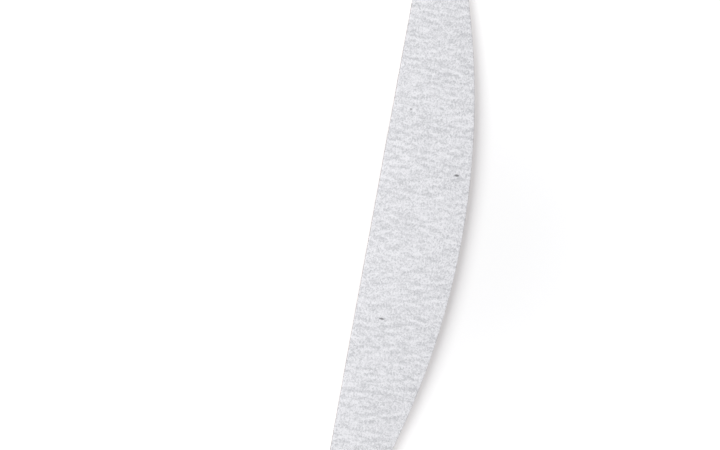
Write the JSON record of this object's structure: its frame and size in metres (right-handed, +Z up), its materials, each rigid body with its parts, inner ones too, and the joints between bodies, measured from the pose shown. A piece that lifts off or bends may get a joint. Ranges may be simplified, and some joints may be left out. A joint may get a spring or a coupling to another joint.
{
  "type": "emery board",
  "caption": "Half-moon emery board: one straight edge, one curved edge and rounded ends, with grey abrasive paper on foam on both sides of a stiff magenta plastic core.",
  "frame": {"origin": "middle of the board's footprint, on the lower grit face", "axes": "+X along the board's length, +Y from the straight edge to the crest of the curved edge, +Z up through the layers"},
  "size_m": [0.178, 0.028, 0.004],
  "materials": {
    "grit": "matt, fine-grained silicon carbide and stearate grit, light grey with darker grains",
    "backing_paper": "matt, resin-soaked paper, brown-grey at its cut edge",
    "adhesive": "satin, dried acrylic glue film",
    "foam": "matt, fine closed-cell foam, warm white",
    "core_plastic": "satin on its faces, scuffed where it is die-cut"
  },
  "bodies": {
    "root": {"grit_coat_lower": "grit", "backing_paper_lower": "backing_paper", "paper_adhesive_lower": "adhesive", "foam_pad_lower": "foam", "core_adhesive_lower": "adhesive", "core_strip": "core_plastic", "core_adhesive_upper": "adhesive", "foam_pad_upper": "foam", "paper_adhesive_upper": "adhesive", "backing_paper_upper": "backing_paper", "grit_coat_upper": "grit"}
  },
  "joints": []
}
